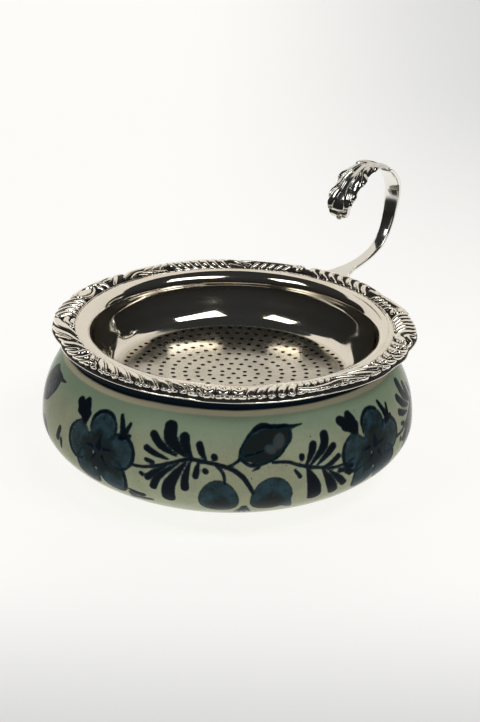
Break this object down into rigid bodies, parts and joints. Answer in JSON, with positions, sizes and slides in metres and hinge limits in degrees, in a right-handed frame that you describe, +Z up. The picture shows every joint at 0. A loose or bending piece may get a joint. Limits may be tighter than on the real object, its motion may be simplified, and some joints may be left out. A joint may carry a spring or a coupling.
{
  "type": "tea strainer",
  "caption": "Round silver-plated tea strainer with a cast scroll border and a curled leaf handle, lying on a glazed drip bowl.",
  "frame": {"origin": "centre of the drip bowl's foot ring, on the table", "axes": "+Z up along the drip bowl's axis; -Y towards the viewer; the handle points to the back right, between +X and +Y"},
  "size_m": [0.09, 0.1042, 0.0643],
  "materials": {
    "glaze": "glossy celadon glaze with cobalt brush painting",
    "polished_silver": "polished silver plate",
    "cast_silver": "cast silver plate, darkened in the recesses"
  },
  "bodies": {
    "drip_bowl": {"drip_bowl": "glaze"},
    "strainer": {"strainer_bowl": "polished_silver", "border": "cast_silver", "handle_strap": "polished_silver", "handle_leaf": "cast_silver"}
  },
  "joints": [
    {"name": "strainer_lift", "type": "slide", "parent": "drip_bowl", "child": "strainer", "axis": [0, 0, 1], "range_m": [0, 0.045]}
  ]
}
